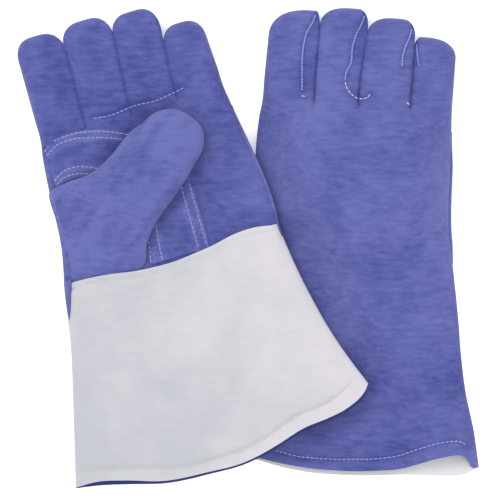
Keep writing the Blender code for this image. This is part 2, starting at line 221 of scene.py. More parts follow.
# Creases along the thumb: (height, stretch, size, seed), fading in from the wing's end.
THUMB_CREASES = ((0.9, 0.4, 14, 5.2), (0.3, 0.5, 5, 6.2))
CREASE_START = -48.0
CREASE_RUN = 30.0

# The strap round the thumb opening: its rims, its rows of stitches and how it is raised.
STRAP_OUTER = (
    (-69, 276), (-50, 282.5), (-29, 280), (-6, 272), (16, 257),
    (28, 238), (32.5, 214), (32.5, 190), (31.5, 167),
)
STRAP_INNER = (
    (-68, 245), (-54, 248), (-34, 243), (-22, 234), (-16, 222),
    (-13, 208), (-12, 195), (-13, 182), (-15, 167),
)
STRAP_ROWS = (
    ((-69, 274), (-59, 279.5), (-44, 280.3), (-27, 277.5), (-12, 272), (0, 266)),
    ((-68, 270.5), (-57, 276), (-45, 276.5), (-29, 273), (-13, 267.5), (-4, 263)),
    ((-68, 250), (-59, 255), (-51, 256), (-43, 254), (-34, 250), (-26, 245)),
    ((-67, 246.5), (-61, 250), (-54, 250.7), (-44.5, 249), (-36, 245)),
    ((24.3, 222), (23.8, 199), (23.5, 182), (23.5, 168)),
    ((30.6, 219), (30.5, 201), (30.2, 186), (29.5, 168)),
    ((-11, 196), (-12.1, 183), (-15, 168)),
    ((-2.5, 196), (-4.3, 184), (-5.6, 168)),
)
STRAP_STEP = 1.0
STRAP_ALONG = 130
STRAP_COLUMNS = 17
STRAP_WIDTH = 27.0
STRAP_RISE = 1.5
STRAP_EDGE_DROP = 0.9
STRAP_EDGE = 2.5
STITCH_SINK = 0.6
STITCH_SINK_HALF = 1.1
STRAP_RIPPLE = (0.3, 9, 2.2)
STRAP_LOWEST = 0.3
STRAP_LEATHER = 1.2

FINGERS = ("index", "middle", "ring", "pinky")

GLOVES = {
    "right": {
        "back_up": True,
        "height": 22.0,
        "thumb_height": 10.0,
        "relief_seed": 3.1,
        "tone_seed": 11.3,
        "edge_v": (0, 30, 60, 90, 120, 166, 192, 245, 296),
        "thumb_edge": (-110, -104, -98, -91, -84, -75, -75, -76, -73),
        "pinky_edge": (111, 105.2, 97.4, 92, 88, 80.5, 76, 73.5, 72),
        "roots": (-73, -33.5, 0.2, 38.6, 72),
        "ends": (-71.5, -32.8, 3.6, 40, 72.8),
        "tips": ((353.5, 20, 0.75), (357, 14, 0.45), (351.5, 14, 0.28), (338.5, 15, -0.6)),
        "hem_across": (-1, -0.5, -0.3, -0.07, 0.14, 0.33, 0.47, 0.57, 0.71, 0.86, 0.92, 0.955, 1),
        "hem": {
            "back": (20, 7, 3.6, 1.9, 2.3, 4.2, 6.6, 10.7, 16.6, 20, 16.5, 11, 11.5),
            "palm": (20, 4.5, 0, -1.9, -1.6, -0.2, 1.4, 1.8, 2.3, 3.6, 5.5, 8, 11),
        },
    },
    "left": {
        "back_up": False,
        "height": 23.0,
        "thumb_height": 18.0,
        "relief_seed": 7.7,
        "tone_seed": 17.9,
        "edge_v": (0, 30, 60, 90, 120, 166, 202, 243, 296),
        "thumb_edge": (-120, -113, -106, -99, -92.5, -85, -77.5, -74.5, -69),
        "pinky_edge": (118, 109, 101.5, 96, 91.5, 87, 86, 81, 77),
        "roots": (-69, -32.5, 4, 40.5, 77),
        "ends": (-68, -31, 7.5, 44, 75),
        "tips": ((361.5, 16, -0.15), (362.5, 17, 0.0), (358.5, 16, 0.0), (339.5, 14, 0.0)),
        "hem_across": (-1, -0.84, -0.68, -0.45, -0.12, 0.03, 0.17, 0.33, 0.52, 0.69, 0.83, 0.96, 1),
        "hem": {
            "back": (19.5, 15.8, 10.8, 3.6, 0.8, 0, 1.5, 5.5, 11.7, 13.8, 17, 24.7, 30.5),
            "palm": (20.5, 20.0, 15.3, 7.0, 3.6, 2.6, 4.2, 8.5, 14.8, 16.8, 20.0, 27.6, 33.0),
        },
        "wrist_line": (
            (-85, -65, -45, -30, 0, 22, 34, 52, 67, 82),
            (6, 5.4, 3.2, 0.6, -1.3, 0.7, 2.1, 5.6, 6.2, 3.9),
        ),
    },
}


def locate(side, glove):
    """Fix where a glove lies by the record's index hinge, which is the middle of that finger's root."""
    joints = {joint["name"]: joint for joint in frame["record"]["behaviour"]["joints"]}
    hinge = joints[f"{side}_index_flex"]
    flip = -1 if glove["back_up"] else 1
    glove["side"] = side
    glove["cos"] = flip * hinge["axis"][0]
    glove["sin"] = flip * hinge["axis"][1]
    root = (glove["roots"][0] + glove["roots"][1]) / 2
    glove["x"] = hinge["pos_m"][0] / MM - root * glove["cos"] + KNUCKLE * glove["sin"]
    glove["y"] = hinge["pos_m"][1] / MM - root * glove["sin"] - KNUCKLE * glove["cos"]
    glove["thumb_hinge"] = joints[f"{side}_thumb_open"]


def curve(x, knots, values):
    """A smooth curve through the knots (cubic Hermite with averaged slopes)."""
    knots, values = np.asarray(knots, float), np.asarray(values, float)
    steps = np.diff(values) / np.diff(knots)
    slopes = np.concatenate([steps[:1], (steps[:-1] + steps[1:]) / 2, steps[-1:]])
    slopes[1:-1] = np.where(steps[:-1] * steps[1:] > 0, slopes[1:-1], 0)
    x = np.clip(x, knots[0], knots[-1])
    at = np.clip(np.searchsorted(knots, x, side="right") - 1, 0, len(knots) - 2)
    width = knots[at + 1] - knots[at]
    t = (x - knots[at]) / width
    start = (2 * t**3 - 3 * t**2 + 1) * values[at] + (t**3 - 2 * t**2 + t) * width * slopes[at]
    end = (3 * t**2 - 2 * t**3) * values[at + 1] + (t**3 - t**2) * width * slopes[at + 1]
    return start + end


def ease(value):
    """Smooth step from 0 to 1."""
    value = np.clip(value, 0, 1)
    return value * value * (3 - 2 * value)


def to_table(glove, u, v):
    """A glove's (u, v) as table coordinates."""
    return glove["x"] + u * glove["cos"] - v * glove["sin"], glove["y"] + u * glove["sin"] + v * glove["cos"]


def from_table(glove, x, y):
    """Table coordinates as a glove's (u, v)."""
    x, y = x - glove["x"], y - glove["y"]
    return x * glove["cos"] + y * glove["sin"], y * glove["cos"] - x * glove["sin"]


def edges(glove, v):
    """The glove's two side edges at v."""
    return curve(v, glove["edge_v"], glove["thumb_edge"]), curve(v, glove["edge_v"], glove["pinky_edge"])


def thumb_coordinates(u, v):
    """The thumb's (a, c) of a glove's (u, v)."""
    u, v = u - THUMB_ORIGIN[0], v - THUMB_ORIGIN[1]
    cos, sin = math.cos(THUMB_ANGLE), math.sin(THUMB_ANGLE)
    return u * sin + v * cos, v * sin - u * cos


def lift(glove, u, v):
    """How far the glove's underside is held off the table at (u, v)."""
    if glove["back_up"]:
        a, c = thumb_coordinates(u, v)
        near, far, middle = BUMP_SPINE
        along = np.maximum(0, np.maximum(near - a, a - far))
        beyond = np.hypot(along, c - middle) - BUMP_RADIUS
        rest = PALM_REST * ease((v - PALM_REST_START) / (WRIST - PALM_REST_START))
        return rest + (THUMB_BUMP - rest) * ease(1 - beyond / BUMP_REACH)
    under = GLOVES["right"]
    under_u, under_v = from_table(under, *to_table(glove, u, v))
    thumb_edge, _ = edges(under, under_v)
    support = PRESSED_HEIGHT + STACK_GAP + lift(under, under_u, under_v)
    return support * ease((under_u - thumb_edge + STACK_MARGIN) / STACK_RUN)


def height(glove, u, v):
    """The glove's thickness at (u, v)."""
    full = glove["height"]
    if not glove["back_up"]:
        return full - SAG * lift(glove, u, v)
    over_u, over_v = from_table(GLOVES["left"], *to_table(glove, u, v))
    _, pinky_edge = edges(GLOVES["left"], over_v)
    pressed = ease((pinky_edge + PRESS_MARGIN - over_u) / STACK_RUN)
    pressed = pressed * ease((PRESS_END - over_v) / PRESS_RUN)
    return full + (PRESSED_HEIGHT - full) * pressed


def section_z(glove, sheet, u, v, full):
    """Height of the upper or lower skin at (u, v); full goes from 0 at the side seam to 1."""
    seam = MID_HEIGHT * height(glove, u, v) / glove["height"]
    if sheet == "top":
        z = seam + (height(glove, u, v) - seam) * full
    else:
        z = seam - np.minimum(seam, (seam + FLAT_DIP) * full)
    return z + lift(glove, u, v)


def signed_power(value):
    """The section's power of a value, keeping its sign."""
    return np.sign(value) * np.abs(value) ** SECTION_POWER


def section_angle(across):
    """The section angle at a share of the width, from -1 at the thumb side to 1."""
    across = np.clip(across, -1, 1)
    return np.arccos(-np.sign(across) * np.abs(across) ** (1 / SECTION_POWER))


def top_panel(glove):
    """The panel that faces up."""
    return "back" if glove["back_up"] else "palm"


def hand_surface(glove, sheet, v, phi):
    """(u, v, z) over the hand and cuff, phi going from the thumb side to the other."""
    thumb_edge, pinky_edge = edges(glove, v)
    across = -signed_power(np.cos(phi))
    u = (thumb_edge + pinky_edge) / 2 + across * (pinky_edge - thumb_edge) / 2
    panel = "back" if (sheet == "top") == glove["back_up"] else "palm"
    hem = curve(across, glove["hem_across"], glove["hem"][panel])
    v = v + hem * np.clip(1 - v / WRIST, 0, 1)
    return u, v, section_z(glove, sheet, u, v, np.abs(np.sin(phi)) ** SECTION_POWER)


def finger_surface(glove, number, sheet, v, phi, wide, tall):
    """(u, v, z) over one finger; wide and tall round off its tip."""
    roots, ends = glove["roots"], glove["ends"]
    far, _, lean = glove["tips"][number]
    root = (roots[number] + roots[number + 1]) / 2
    end = (ends[number] + ends[number + 1]) / 2
    reach = np.clip((v - KNUCKLE) / TAPER, 0, 1)
    root_half = (roots[number + 1] - roots[number]) / 2
    end_half = (ends[number + 1] - ends[number]) / 2
    half = root_half + (end_half - root_half) * reach - FINGER_GAP * ease((v - CROTCH) / GAP_RUN)
    centre = root + (end - root) * reach + lean * half * (1 - wide)
    full = np.abs(np.sin(phi)) ** FINGER_POWER
    inner = np.where(np.cos(phi) > 0, number > 0, number < len(FINGERS) - 1)
    full = full + INNER_WALL * inner * (1 - full)
    thick = glove["height"] - FINGER_SLACK
    if sheet == "top":
        z = (thick - MID_HEIGHT) * full * tall
    else:
        z = -np.minimum(MID_HEIGHT, (MID_HEIGHT + FLAT_DIP) * full) * tall
    fall = np.clip(1 - (v - KNUCKLE) / (SLOPE_SHARE * (far - KNUCKLE)), 0, 1)
    slope = lift(glove, root, KNUCKLE) * fall
    return centre - signed_power(np.cos(phi)) * half * wide, v + 0 * phi, MID_HEIGHT + z + slope


def strip_angles(glove):
    """The hand's section angles over the four finger roots' edges."""
    roots = np.array(glove["roots"])
    return section_angle((2 * roots - roots[0] - roots[-1]) / (roots[-1] - roots[0]))


def skin(glove, number, sheet, rows, phi):
    """(u, v, z) over one finger's strip of the glove, from the hem to its tip; rows hold v, wide, tall."""
    v, wide, tall = (column[:, None] for column in rows.T)
    angles = strip_angles(glove)
    hand_phi = angles[number] + (angles[number + 1] - angles[number]) * phi / math.pi
    merge = ease((v - MERGE_START) / (CROTCH - MERGE_START))
    hand = hand_surface(glove, sheet, np.minimum(v, KNUCKLE), hand_phi[None, :] + 0 * v)
    finger_v = np.maximum(v, MERGE_START)
    finger = finger_surface(glove, number, sheet, finger_v, phi[None, :] + 0 * v, wide, tall)
    u, z = (hand[i] * (1 - merge) + finger[i] * merge for i in (0, 2))
    return [u, np.where(merge < 1, hand[1], finger[1]), z]


def plain_rows(v):
    """Rows for skin() at the stations v, with no rounding."""
    return np.stack([v, np.ones_like(v), np.ones_like(v)], axis=1)


def joined_strips(glove, sheet, rows, phi):
    """(u, v, z) over the four strips of the hand, side by side."""
    strips = [skin(glove, number, sheet, rows, phi) for number in range(len(FINGERS))]
    first, *others = strips
    return [np.concatenate([first[i]] + [strip[i][:, 1:] for strip in others], axis=1) for i in range(3)]


def surface_z(glove, sheet, u, v):
    """Height of the hand's skin over (u, v)."""
    thumb_edge, pinky_edge = edges(glove, v)
    phi = section_angle((2 * u - thumb_edge - pinky_edge) / (pinky_edge - thumb_edge))
    return section_z(glove, sheet, u, v, np.sin(phi) ** SECTION_POWER)


def near_line(u, v, line):
    """Distance from each (u, v) to a polyline."""
    best = np.full(np.shape(u), FAR_AWAY)
    for (u0, v0), (u1, v1) in zip(line[:-1], line[1:]):
        du, dv = u1 - u0, v1 - v0
        t = np.clip(((u - u0) * du + (v - v0) * dv) / (du * du + dv * dv), 0, 1)
        best = np.minimum(best, np.hypot(u - u0 - t * du, v - v0 - t * dv))
    return best


def spline(points, step):
    """A smooth line through the points, as a list of (u, v) about one step apart."""
    points = np.array(points, float)
    lengths = np.concatenate([[0], np.cumsum(np.hypot(*np.diff(points, axis=0).T))])
    at = np.arange(0, lengths[-1], step)
    return np.stack([curve(at, lengths, points[:, 0]), curve(at, lengths, points[:, 1])], axis=1)


def ripple(u, v, size, seed):
    """Soft noise from -1 to 1 over (u, v), with bumps about size across."""
    flat = [noise.noise(Vector((a / size, b / size, seed))) for a, b in zip(np.ravel(u), np.ravel(v))]
    return np.array(flat).reshape(np.shape(u))


# Seams, as lines in (u, v).
INDEX_SEAM = (
    (-37.3, 349.5), (-38.5, 344.3), (-42.8, 335.5), (-44.6, 325.5),
    (-45, 315.7), (-44.6, 306), (-43.5, 288.8),
)
MIDDLE_SEAM = (
    (0.3, 351), (-0.6, 346.8), (-4.8, 336.7), (-7.3, 326.7),
    (-7.9, 313.2), (-10.9, 306.9), (-11.4, 299.5),
)
CROTCH_SEAM = ((-11.4, 299.5), (-9.4, 294.1), (-4.9, 289.5), (0.2, 287), (4.5, 287.2), (8, 290.3), (9, 294))
RING_SEAM = ((37.2, 343.5), (36.2, 338.1), (33.6, 330.6), (31.6, 323.1), (31, 312))
PINKY_SEAM = ((41.3, 332.5), (42.1, 326.2), (44.8, 313))
SEAM_ENDS = (((-43.9, 286.6), (-39.9, 286.4)), ((36.3, 286.7), (39.6, 283.9)))
PALM_SEAM = ((-25, 287.2), (-12, 285.8), (8.6, 287.5), (24, 286.5), (42, 289), (50, 290.3))
RIGHT_HEM = (
    (-105, 26), (-61, 17), (-44, 13.9), (-29, 11), (-9.5, 10.3), (13.5, 11.4),
    (34.5, 13.2), (50, 16.7), (61, 21.6), (78, 28.1), (93, 30.8), (103, 26.3),
)
LEFT_HEM = (
    (-113, 32), (-98, 29.5), (-61, 19.5), (-23, 12.3), (7, 12.3), (30, 16.5), (60, 26), (85, 29), (108, 38),
)
FINGER_SEAMS = (INDEX_SEAM, MIDDLE_SEAM, RING_SEAM, PINKY_SEAM)

# The seams that sink into each skin, with their depth and half width, and the low rim beside them.
GROOVES = {
    ("right", "back"): (
        (INDEX_SEAM, 1.0, 1.4),
        (MIDDLE_SEAM, 1.0, 1.4),
        (CROTCH_SEAM, 1.0, 1.4),
        (RING_SEAM, 0.9, 1.4),
        (PINKY_SEAM, 0.9, 1.4),
        (RIGHT_HEM, 0.6, 1.5),
    ),
    ("left", "palm"): ((PALM_SEAM, 1.0, 2.0),),
    ("left", "cuff"): ((LEFT_HEM, 0.3, 1.6),),
}
GROOVE_STEP = 4.0
GROOVE_RIM = 0.4
GROOVE_RIM_AT = 2.2

# The slack of the hide, as bumps of (height, size), and how far from a side seam it fades.
RIPPLES = ((0.9, 38), (0.35, 15), (0.14, 6))
SEAM_FADE = 9.0


def relief(glove, panel, u, v):
    """How far the skin is raised or sunk at (u, v), in mm."""
    seed = glove["relief_seed"]
    raised = sum(swell * ripple(u, v, size, seed + number) for number, (swell, size) in enumerate(RIPPLES))
    for line, depth, half in GROOVES.get((glove["side"], panel), ()):
        away = near_line(u, v, spline(line, GROOVE_STEP))
        raised -= depth * np.exp(-((away / half) ** 2))
        raised += GROOVE_RIM * depth * np.exp(-(((away - GROOVE_RIM_AT * half) / half) ** 2))
    return raised


# A tone says how pale the hide is, painted light and shade included: 0 is its darker colour and 1 its paler
# one. Each part has (base, drift, v where the drift starts, v where it is complete), on top of soft patches.
AVERAGE_TONE = 0.5
PATCHES = ((0.22, 45), (0.16, 17))
PLAIN = (0.0, 0.0, 0, 1)
TONES = {
    # Painted light: the left thumb is painted paler, where it stands up nearer the lamps.
    ("left", "thumb"): (0.2, 0.0, 0, 1),
    ("left", "finger"): (-0.18, 0.06, 285, 310),
    ("left", "palm"): (-0.04, -0.14, 190, 230),
    ("left", "strap"): (-0.04, -0.24, 190, 235),
    ("left", "cuff"): (-0.16, 0.28, 20, 150),
    # Painted light: the right cuff shows only in the shade under its back's hem, and is painted paler against
    # that shade.
    ("right", "cuff"): (0.5, 0.0, 0, 1),
    ("right", "finger"): (0.27, -0.2, 284, 322),
    ("right", "back"): (0.0, 0.27, 150, 225),
}

# Shade in the grooves, between the fingers and on the fourchettes beside their seams.
GROOVE_SHADE = 0.3
GROOVE_SHADE_HALF = 2.5
GAP_SHADE = 0.35
GAP_SHADE_HALF = 1.8
FOURCHETTE_SHADE = 0.2
FOURCHETTE_EDGE = 0.8
FOURCHETTE_END = 3.0

# The left cuff pales across, its folded hem is paler, and the back is painted dark past that hem as painted
# shadow.
CUFF_DRIFT = 0.0036
FOLD_TONE = 0.4
FOLD_HALF = 1.0
HEM_SHADE = 1.3
HEM_SHADE_START = 6.0
HEM_SHADE_RUN = 4.0

# The pale piped edge on the thumb side.
PIPING_TONE = 0.4
PIPING_IN = 2.2
PIPING_HALF = 1.2
PIPING_START = 182.0
PIPING_END = 268.0
PIPING_RUN = 20.0

# Painted light and shade on the thumb: streaks of painted shading along its length, and painted light growing
# towards its tip.
STREAK_SHADING = 0.35
STREAK_STRETCH = 0.22
STREAK_SIZE = 6.5
TIP_LIGHT = 0.25
TIP_LIGHT_START = 40.0
TIP_LIGHT_RUN = 50.0

# The strap is paler along its rows of stitches, speckled where the strap runs down to the wrist.
PALE_ROW_HALF = 2.6
PALE_ROW_TONE = 0.6
SPECKLE_TONE = 1.1
SPECKLE_SIZE = 2.2
SPECKLE_END = 235.0
SPECKLE_RUN = 15.0

# Each finger seam with the gap beside it: the fourchette shows between the two.
FOURCHETTES = tuple(zip(FINGER_SEAMS, (1, 2, 3, 3)))


def gap_line(glove, number, v):
    """Where the numbered edge between two fingers runs at v."""
    reach = np.clip((v - KNUCKLE) / TAPER, 0, 1)
    return glove["roots"][number] + (glove["ends"][number] - glove["roots"][number]) * reach


def fourchette(glove, u, v):
    """1 on the side walls that show between a finger's seam and the gap beside it, else 0."""
    walls = np.zeros(np.shape(u))
    for line, number in FOURCHETTES:
        seam = np.interp(v, *np.array(line[::-1]).T[::-1])
        gap = gap_line(glove, number, v)
        low, high = np.minimum(seam, gap), np.maximum(seam, gap)
        inside = ease((u - low) / FOURCHETTE_EDGE + 0.5) * ease((high - u) / FOURCHETTE_EDGE + 0.5)
        past_end = ease((v - line[-1][1] + FOURCHETTE_END) / (2 * FOURCHETTE_END))
        walls = np.maximum(walls, inside * past_end)
    return walls


def finger_tone(glove, u, v):
    """Shade in the gaps between the fingers and, with the back up, on the fourchettes."""
    away = np.minimum.reduce([np.abs(u - gap_line(glove, number, v)) for number in range(1, len(FINGERS))])
    shade = GAP_SHADE * np.exp(-((away / GAP_SHADE_HALF) ** 2))
    if glove["back_up"]:
        shade = shade + FOURCHETTE_SHADE * fourchette(glove, u, v)
    return -shade


def thumb_light_and_shade(glove, u, v):
    """Painted shading in streaks along the thumb, and painted light growing towards its tip."""
    a, c = thumb_coordinates(u, v)
    streaks = ripple(a * STREAK_STRETCH, c, STREAK_SIZE, glove["tone_seed"] + 2)
    return STREAK_SHADING * streaks + TIP_LIGHT * ease((a - TIP_LIGHT_START) / TIP_LIGHT_RUN)


def strap_tone(glove, u, v):
    """Paler bands along the strap's rows of stitches."""
    seam = np.minimum.reduce([near_line(u, v, line) for line in STRAP_ROWS])
    speckle = SPECKLE_TONE * ripple(u, v, SPECKLE_SIZE, glove["tone_seed"] + 3)
    pale_rows = PALE_ROW_TONE + speckle * ease((SPECKLE_END - v) / SPECKLE_RUN)
    return np.exp(-((seam / PALE_ROW_HALF) ** 2)) * pale_rows


def piping_tone(glove, u, v):
    """The pale piped edge on the thumb side of the palm and of the thumb on it."""
    thumb_edge, _ = edges(glove, v)
    line = np.exp(-(((u - thumb_edge - PIPING_IN) / PIPING_HALF) ** 2))
    return PIPING_TONE * line * ease((v - PIPING_START) / PIPING_RUN) * ease((PIPING_END - v) / PIPING_RUN)


def cuff_tone(glove, u, v):
    """The palm-up cuff pales across, and its folded hem is paler still."""
    if glove["back_up"]:
        return 0.0
    fold = v - np.interp(u, *np.array(LEFT_HEM).T)
    return CUFF_DRIFT * u + FOLD_TONE * (1 - ease((fold + FOLD_HALF) / (2 * FOLD_HALF)))


def hem_shadow_tone(glove, u, v):
    """Painted shadow: the back of the palm-up glove is dark where it shows past the cuff's hem."""
    if glove["back_up"]:
        return 0.0
    low, high = edges(glove, v)
    hem = curve((2 * u - low - high) / (high - low), glove["hem_across"], glove["hem"]["back"])
    return -HEM_SHADE * (1 - ease((v - hem - HEM_SHADE_START) / HEM_SHADE_RUN))


PART_TONES = {
    "finger": (finger_tone,),
    "thumb": (thumb_light_and_shade, piping_tone),
    "strap": (strap_tone,),
    "palm": (piping_tone,),
    "cuff": (cuff_tone,),
    "back": (hem_shadow_tone,),
}


def tones(glove, part, u, v):
    """How pale a part is at (u, v): its hide's own tone, with painted light and shade added."""
    tone = AVERAGE_TONE
    for number, (share, size) in enumerate(PATCHES):
        tone = tone + share * ripple(u, v, size, glove["tone_seed"] + number)
    away = np.full(np.shape(u), FAR_AWAY)
    panel = top_panel(glove) if part == "finger" else part
    for line, _, _ in GROOVES.get((glove["side"], panel), ()):
        away = np.minimum(away, near_line(u, v, spline(line, GROOVE_STEP)))
    tone = tone - GROOVE_SHADE * np.exp(-((away / GROOVE_SHADE_HALF) ** 2))
    for part_tone in PART_TONES[part]:
        tone = tone + part_tone(glove, u, v)
    base, drift, start, end = TONES.get((glove["side"], part), PLAIN)
    return tone + base + drift * ease((v - start) / (end - start))


def grid_normals(points):
    """Unit normals of a grid of points, from its rows and columns."""
    normals = np.cross(np.gradient(points, axis=1), np.gradient(points, axis=0))
    lengths = np.linalg.norm(normals, axis=2, keepdims=True)
    return normals / np.maximum(lengths, NO_LENGTH)


def ring_normals(points):
    """Unit normals of a grid whose last column joins its first."""
    wrapped = np.concatenate([points[:, -1:], points, points[:, :1]], axis=1)
    return grid_normals(wrapped)[:, 1:-1]


def grid_faces(rows, columns, closed=False):
    """Quads of a grid of points; a closed grid joins its last column to its first."""
    faces = []
    for row in range(rows - 1):
        for column in range(columns if closed else columns - 1):
            right = (column + 1) % columns
            start, end = row * columns, (row + 1) * columns
            faces.append((start + column, start + right, end + right, end + column))
    return faces


# The points of each skin that face up, in mm on the table, for the thread that lies on them.
OUTER = {}
FACES_UP = 0.15


def link_mesh(name, points, faces, material, tone):
    """A smooth mesh object with its points in metres; each point's tone is for its material."""
    mesh = bpy.data.meshes.new(name)
    mesh.from_pydata(points, [], faces)
    mesh.polygons.foreach_set("use_smooth", [True] * len(mesh.polygons))
    mesh.materials.append(MATERIALS[material])
    mesh.attributes.new("tone", "FLOAT", "POINT").data.foreach_set("value", tone)
    piece = bpy.data.objects.new(name, mesh)
    bpy.context.scene.collection.objects.link(piece)
    return piece


def thick_skin(name, points, normals, material, tone, thickness=LEATHER, closed=False, flip=False, cap=False):
    """A leather piece: a grid of points in mm, thickened against its normals, as a closed mesh."""
    rows, columns = points.shape[:2]
    OUTER[name] = points[(-normals if flip else normals)[..., 2] > FACES_UP]
    if flip:
        normals = -normals
    inner = points - normals * thickness
    outer_flat, inner_flat = points.reshape(-1, 3), inner.reshape(-1, 3)
    count = len(outer_flat)
    faces = grid_faces(rows, columns, closed)
    if cap:
        last = (rows - 1) * columns
        faces.append(tuple(last + column for column in range(columns)))
    if flip:
        faces = [face[::-1] for face in faces]
    solid = list(faces) + [tuple(count + index for index in face[::-1]) for face in faces]
    directed = {(face[i], face[(i + 1) % len(face)]) for face in faces for i in range(len(face))}
    for start, end in sorted(directed):
        if (end, start) not in directed:
            solid.append((end, start, count + start, count + end))
    flat_tone = np.tile(np.broadcast_to(tone, points.shape[:2]).reshape(-1), 2).astype(np.float32)
    metres = (np.concatenate([outer_flat, inner_flat]) * MM).tolist()
    piece = link_mesh(name, metres, solid, material, flat_tone)
    both = np.concatenate([normals.reshape(-1, 3), -normals.reshape(-1, 3)])
    shade_mesh(piece.data, both, 2 * len(faces))
    return piece


def shade_mesh(mesh, normals, smooth_faces):
    """Give the skin's faces their grid's normals; the rims after them stay flat."""
    corners = np.zeros(len(mesh.loops), np.int32)
    mesh.loops.foreach_get("vertex_index", corners)
    shade = normals[corners]
    for face in mesh.polygons[smooth_faces:]:
        shade[face.loop_start : face.loop_start + face.loop_total] = face.normal
    mesh.normals_split_custom_set(shade.tolist())


def placed(glove, u, v, z):
    """Grid arrays of (u, v, z) as table points in mm."""
    x, y = to_table(glove, u, v)
    return np.stack([x, y, z], axis=-1)


def hand_grid(glove, sheet, panel, start, end, across):
    """Points, normals and tones of a skin of the hand, over all four strips, between two stations."""
    count = max(2, int((end - start) / ROW_STEP))
    v = np.append(np.linspace(start, end, count + 1), end + ROW_STEP)
    first = 0
    if start > 0:
        v = np.insert(v, 0, start - ROW_STEP)
        first = 1
    u, v, z = joined_strips(glove, sheet, plain_rows(v), np.linspace(0, math.pi, across + 1))
    return shaped(glove, sheet, panel, u, v, z, slice(first, -1))


def wrist_shift(glove, u, v):
    """How far along the glove the cuff is drawn out near the wrist, to end on its own curve."""
    if "wrist_line" not in glove:
        return 0 * u
    return curve(u, *glove["wrist_line"]) * ease((v - DRAW_START) / (WRIST - DRAW_START))


def drawn_out(glove, u, v):
    """(u, v) on the cuff after it is drawn out to its wrist line, kept between the side edges."""
    low, high = edges(glove, v)
    v = v + wrist_shift(glove, u, v)
    new_low, new_high = edges(glove, v)
    return new_low + (u - low) / (high - low) * (new_high - new_low), v


def wrist_rise(glove, sheet, u, v):
    """How far the cuff stands off the hand's surface towards its end at the wrist, and the seam beside it."""
    low, high = edges(glove, v)
    inside = ease(np.minimum(u - low, high - u) / STEP_EDGE)
    seam = WRIST_SEAM * np.exp(-(((v - WRIST + WRIST_SEAM_BEFORE) / WRIST_SEAM_HALF) ** 2)) * (sheet == "top")
    return (WRIST_STEP * ease((v - WRIST + STEP_BEFORE) / STEP_RUN) - seam) * inside


def shaped(glove, sheet, panel, u, v, z, rows):
    """Add a skin's relief, fading it at the side seams, and keep only the rows asked for."""
    if sheet == "top":
        low, high = edges(glove, np.minimum(v, KNUCKLE))
        z = z + relief(glove, panel, u, v) * ease(np.minimum(u - low, high - u) / SEAM_FADE)
    points = placed(glove, u, v, z)
    if panel == "cuff":
        points = placed(glove, *drawn_out(glove, u, v), z)
        points[..., 2] += (1 if sheet == "top" else -1) * wrist_rise(glove, sheet, u, v)
    return points[rows], grid_normals(points)[rows], tones(glove, panel, u, v)[rows]


# How the nap is brushed: noise is stretched across the table, so it runs in short streaks.
BRUSHED = (0.3, 1.0, 1.0)
NAP_SCALE = 0.3
COARSE_SCALE = 0.22
MOTTLE = 0.3
NOISE_SPAN = (0.3, 0.7)
RUBBED = 0.08
SPECULAR = 0.15
SHEEN_ROUGHNESS = 0.6
BUMP_DISTANCE = 0.0006


def set_inputs(node, values):
    """Set a node's unlinked inputs by name."""
    for name, value in values.items():
        node.inputs[name].default_value = value


def make_material(
    name, colour, paler, rough=0.95, grain=900.0, mottle=22.0, depth=0.25, sheen=0.12, glow=0.0, streaks=0.34
):
    """Napped hide: mottled dye at two sizes, fine nap and a soft grain bump."""
    material = bpy.data.materials.new(name)
    material.use_nodes = True
    material.diffuse_color = (*colour, 1)
    nodes, links = material.node_tree.nodes, material.node_tree.links
    shader = nodes["Principled BSDF"]
    set_inputs(shader, {"Specular IOR Level": SPECULAR, "Emission Color": (1, 1, 1, 1)})
    set_inputs(shader, {"Emission Strength": glow, "Sheen Weight": sheen, "Sheen Roughness": SHEEN_ROUGHNESS})
    place = nodes.new("ShaderNodeTexCoord")
    brushed = nodes.new("ShaderNodeMapping")
    set_inputs(brushed, {"Scale": BRUSHED})
    links.new(place.outputs["Object"], brushed.inputs["Vector"])

    def cloud(size, detail, roughness, distortion=0.0, source=place.outputs["Object"]):
        texture = nodes.new("ShaderNodeTexNoise")
        set_inputs(texture, {"Scale": size, "Detail": detail})
        set_inputs(texture, {"Roughness": roughness, "Distortion": distortion})
        links.new(source, texture.inputs["Vector"])
        return texture.outputs["Fac"]

    def ramp(value, span, first, last):
        node = nodes.new("ShaderNodeMapRange")
        set_inputs(node, {"From Min": span[0], "From Max": span[1], "To Min": first, "To Max": last})
        links.new(value, node.inputs["Value"])
        return node.outputs["Result"]

    def add(first, second):
        node = nodes.new("ShaderNodeMath")
        links.new(first, node.inputs[0])
        links.new(second, node.inputs[1])
        return node.outputs["Value"]

    patches = ramp(cloud(mottle, detail=5.0, roughness=0.65, distortion=0.4), NOISE_SPAN, -MOTTLE, MOTTLE)
    fine = cloud(grain * NAP_SCALE, detail=4.0, roughness=0.7, source=brushed.outputs["Vector"])
    nap = ramp(fine, NOISE_SPAN, -streaks, streaks)
    # Each point's tone, painted light and shade included, shifts the colour from darker to paler.
    tone = nodes.new("ShaderNodeAttribute")
    tone.attribute_name = "tone"
    share = add(add(patches, nap), tone.outputs["Fac"])
    mix = nodes.new("ShaderNodeMix")
    mix.data_type = "RGBA"
    set_inputs(mix, {"A": (*colour, 1), "B": (*paler, 1)})
    links.new(share, mix.inputs["Factor"])
    links.new(mix.outputs["Result"], shader.inputs["Base Color"])
    links.new(ramp(share, (0, 1), rough - RUBBED, rough), shader.inputs["Roughness"])
    bump = nodes.new("ShaderNodeBump")
    set_inputs(bump, {"Strength": depth, "Distance": BUMP_DISTANCE})
    pores = cloud(grain, detail=3.0, roughness=0.7)
    folds = cloud(grain * COARSE_SCALE, detail=4.0, roughness=0.6)
    links.new(add(pores, folds), bump.inputs["Height"])
    links.new(bump.outputs["Normal"], shader.inputs["Normal"])
    return material


